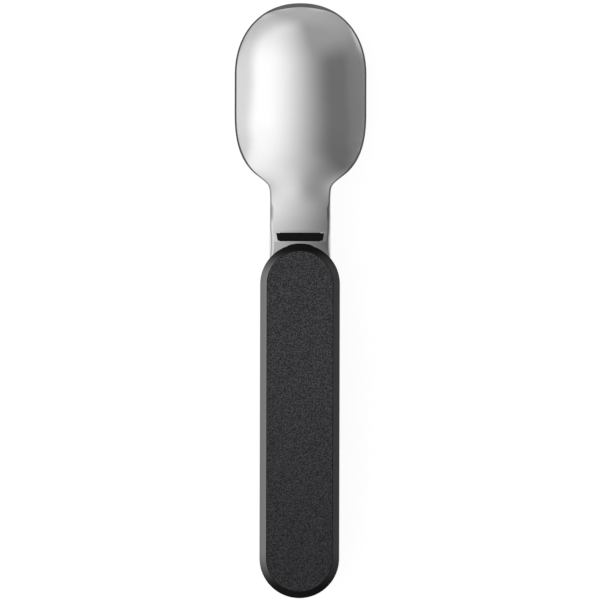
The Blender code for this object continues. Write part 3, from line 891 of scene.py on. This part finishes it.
class SPOON_OT_hinge(bpy.types.Operator):
    """Turn the pin and the washers and cut the leaf spring"""

    bl_idname = "spoon.hinge"
    bl_label = "Hinge hardware"

    # Colour, roughness and length of the marks
    PIN_STEEL = ((0.45, 0.45, 0.45), 0.28, 1.0 * MM)
    SPRING_STEEL = ((0.36, 0.36, 0.37), 0.32, 6.0 * MM)
    # Colour, grain size, grain depth, roughness and specular level
    NYLON = ((0.55, 0.55, 0.52), 0.3 * MM, 0.008 * MM, 0.5, 0.5)
    PIN_EDGE, PIN_FLAT = 0.25 * MM, 0.4
    WASHER_EDGE = 0.12 * MM
    LEAF_EDGE = 0.15 * MM
    PEG_PLACE, PEG_RADIUS = 5.5 * MM, 1.5 * MM

    def execute(self, context):
        pin_steel = steel_material("pin_steel", *self.PIN_STEEL)
        spring_steel = steel_material("spring_steel", *self.SPRING_STEEL)
        nylon = grained_plastic("washer_nylon", *self.NYLON)
        pin = make_piece("cross_pin", self.pin())
        finish_piece(pin, "hinge_pin", "handle", [pin_steel])
        for name, side in (("washer_left", -1.0), ("washer_right", 1.0)):
            ring = make_piece(name + "_ring", self.washer(side))
            finish_piece(ring, name, "handle", [nylon])
        leaf = make_piece("leaf_spring", box(SPRING_LOW, SPRING_HIGH))
        peg, steps = (0.0, SPRING_LOW.y + self.PEG_PLACE), 48
        circle = arc(peg, self.PEG_RADIUS, 0.0, 360.0, steps)[:-1]
        cut(leaf, loft([[(x, y, z) for x, y in circle] for z in (0.0, BACK_HIGH.z)]))
        soften(leaf, self.LEAF_EDGE)
        bake_modifiers(leaf)
        finish_piece(leaf, "detent_spring", "handle", [spring_steel])
        return {"FINISHED"}

    def pin(self):
        """A rod with rounded ends."""
        middle, radius, edge = PIN_HIGH.x - self.PIN_EDGE, PIN_RADIUS - self.PIN_EDGE, self.PIN_EDGE
        turns = (0.0, 0.5, 1.0, 1.57)
        dome = [(middle + edge * math.sin(turn), radius + edge * math.cos(turn)) for turn in turns]
        dome.append((PIN_HIGH.x, self.PIN_FLAT * PIN_RADIUS))
        return loft(turned([(-x, r) for x, r in dome[::-1]] + dome))

    def washer(self, side):
        """A ring with rounded rims, as one closed loop of circles."""
        near, far, edge = WASHER_LOW.x, WASHER_HIGH.x, self.WASHER_EDGE
        inner, outer = PIN_RADIUS + CLEARANCE, WASHER_HIGH.z - PIVOT.z
        profile = [(near, inner), (near, outer - edge), (near + edge, outer), (far - edge, outer)]
        profile += [(far, outer - edge), (far, inner), (near, inner)]
        bm = loft(turned([(side * x, r) for x, r in profile]), closed=False)
        bmesh.ops.remove_doubles(bm, verts=bm.verts, dist=MERGE)
        return bm


class SPOON_OT_stage(bpy.types.Operator):
    """Lay the pale floor, set the soft studio light and place the camera"""

    bl_idname = "spoon.stage"
    bl_label = "Stage"

    COVE_RUN, COVE_TURN = 1.1, math.pi / 4
    VIEW_DEPTH = 20.0

    def execute(self, context):
        settings = context.scene.spoon_stage
        self.lay_floor(settings)
        self.light_studio(context.scene, settings)
        camera = bpy.data.objects.new("camera", bpy.data.cameras.new("camera"))
        camera.data.lens = settings.lens
        distance = settings.picture_width * settings.lens / camera.data.sensor_width
        camera.location = (0.0, 0.0, distance + BACK_HIGH.z / 2)
        camera.data.clip_end = self.VIEW_DEPTH
        camera.rotation_euler.z = settings.roll
        context.scene.collection.objects.link(camera)
        context.scene.camera = camera
        context.scene.view_settings.view_transform = "Standard"
        return {"FINISHED"}

    def lay_floor(self, settings):
        """A wide round floor whose rim curves up a little, so that it also closes low views."""
        flat, rise, cove_steps, circle_steps = settings.floor_radius, settings.floor_rise, 12, 96
        bm = bmesh.new()
        rings = [(flat * share, 0.0) for share in (0.02, 0.1, 0.4, 1.0)]
        for i in range(1, cove_steps + 1):
            turn = self.COVE_TURN * i / cove_steps
            height = rise * (1.0 - math.cos(turn)) / (1.0 - math.cos(self.COVE_TURN))
            rings.append((flat + self.COVE_RUN * math.sin(turn), height))
        circle = arc((0.0, 0.0), 1.0, 0.0, 360.0, circle_steps)[:-1]
        loops = [[bm.verts.new((r * c, r * s, z - settings.floor_gap)) for c, s in circle] for r, z in rings]
        bm.faces.new(loops[0])
        for inner, outer in zip(loops, loops[1:]):
            for i in range(len(inner)):
                j = (i + 1) % len(inner)
                bm.faces.new((inner[i], outer[i], outer[j], inner[j]))
        floor = make_piece("floor", bm)
        floor.data.materials.append(self.floor_material(settings))

    def floor_material(self, settings):
        """Pale floor that looks white, also in metal, and still shows the object's shadow."""
        material, graph = new_material("pale_floor")
        seen = 0.0
        for ray in ("Is Camera Ray", "Is Glossy Ray", "Is Transmission Ray"):
            seen = graph.add("ShaderNodeLightPath", output=ray) + seen
        plain = graph.add("ShaderNodeBsdfDiffuse", None, {"Color": (*settings.floor_colour, 1.0)})
        dim = graph.add("ShaderNodeBsdfDiffuse", None, {"Color": grey(settings.shadow)})
        level = settings.floor_white - settings.shadow
        white = graph.add("ShaderNodeEmission", None, {"Color": grey(1.0), "Strength": level})
        lifted = graph.add("ShaderNodeAddShader", None, {0: dim, 1: white})
        surface = graph.add("ShaderNodeMixShader", None, {0: seen, 1: plain, 2: lifted})
        graph.add("ShaderNodeOutputMaterial", None, {"Surface": surface})
        return material

    def light_studio(self, scene, settings):
        """A light tent: bright on the left, dim on the right, softer at both ends, grey at the skyline."""
        world = bpy.data.worlds.new("studio")
        scene.world = world
        world.use_nodes = True
        graph = Graph(world.node_tree)
        direction = graph.add("ShaderNodeTexCoord", output="Generated")
        across, along, up = (
            graph.add("ShaderNodeSeparateXYZ", None, {"Vector": direction}, axis) for axis in ("X", "Y", "Z")
        )
        right, left, dim, bright = 45.0, -48.0, 0.14, 0.94
        end_start, end_full, end_share, end_level = 0.2, 0.7, 0.75, 0.29
        sky_start, sky_full, sky_level, sky_lean, sky_lift = 0.5, 0.15, 0.37, 0.25, 0.045
        angle = graph.add("ShaderNodeMath", {"operation": "ARCTAN2"}, {0: across, 1: up})
        turn = angle * (180.0 / math.pi)
        reach = abs(along)
        panel = fade(turn, right, left, dim, bright) * fade(reach, end_start, 1.0, 1.0, end_share)
        lift = graph.add("ShaderNodeMath", {"operation": "MAXIMUM"}, {0: end_level - panel, 1: 0.0})
        panel = panel + fade(reach, end_start, end_full, 0.0, 1.0) * lift
        cube = across * across * across
        skyline = sky_level - cube * sky_lean + abs(cube) * sky_lift
        strength = (panel + (skyline - panel) * fade(up, sky_start, sky_full, 0.0, 1.0)) * settings.light
        background = graph.add("ShaderNodeBackground", None, {"Color": grey(1.0), "Strength": strength})
        graph.add("ShaderNodeOutputWorld", None, {"Surface": background})


class SPOON_PT_panel(bpy.types.Panel):
    """Lists the spoon's operators and settings"""

    bl_idname = "SPOON_PT_panel"
    bl_label = "Folding spoon"
    bl_space_type = "VIEW_3D"
    bl_region_type = "UI"
    bl_category = "Spoon"

    def draw(self, context):
        for operator in OPERATORS:
            self.layout.operator(operator.bl_idname)
        for name in SETTINGS:
            group = getattr(context.scene, name)
            column = self.layout.column()
            for prop in group.bl_rna.properties:
                if prop.identifier not in ("rna_type", "name"):
                    column.prop(group, prop.identifier)


OPERATORS = (SPOON_OT_head, SPOON_OT_insert, SPOON_OT_handle, SPOON_OT_hinge, SPOON_OT_stage)
SETTINGS = {"spoon_head": HeadSettings, "spoon_handle": HandleSettings, "spoon_stage": StageSettings}


def register():
    for item in (*SETTINGS.values(), *OPERATORS, SPOON_PT_panel):
        bpy.utils.register_class(item)
    for name, group in SETTINGS.items():
        setattr(bpy.types.Scene, name, PointerProperty(type=group))


def unregister():
    for name in SETTINGS:
        delattr(bpy.types.Scene, name)
    for item in (SPOON_PT_panel, *OPERATORS[::-1], *SETTINGS.values()):
        bpy.utils.unregister_class(item)


def main():
    register()
    bpy.ops.spoon.head()
    bpy.ops.spoon.insert()
    bpy.ops.spoon.handle()
    bpy.ops.spoon.hinge()
    bpy.ops.spoon.stage()


if __name__ == "__main__":
    main()
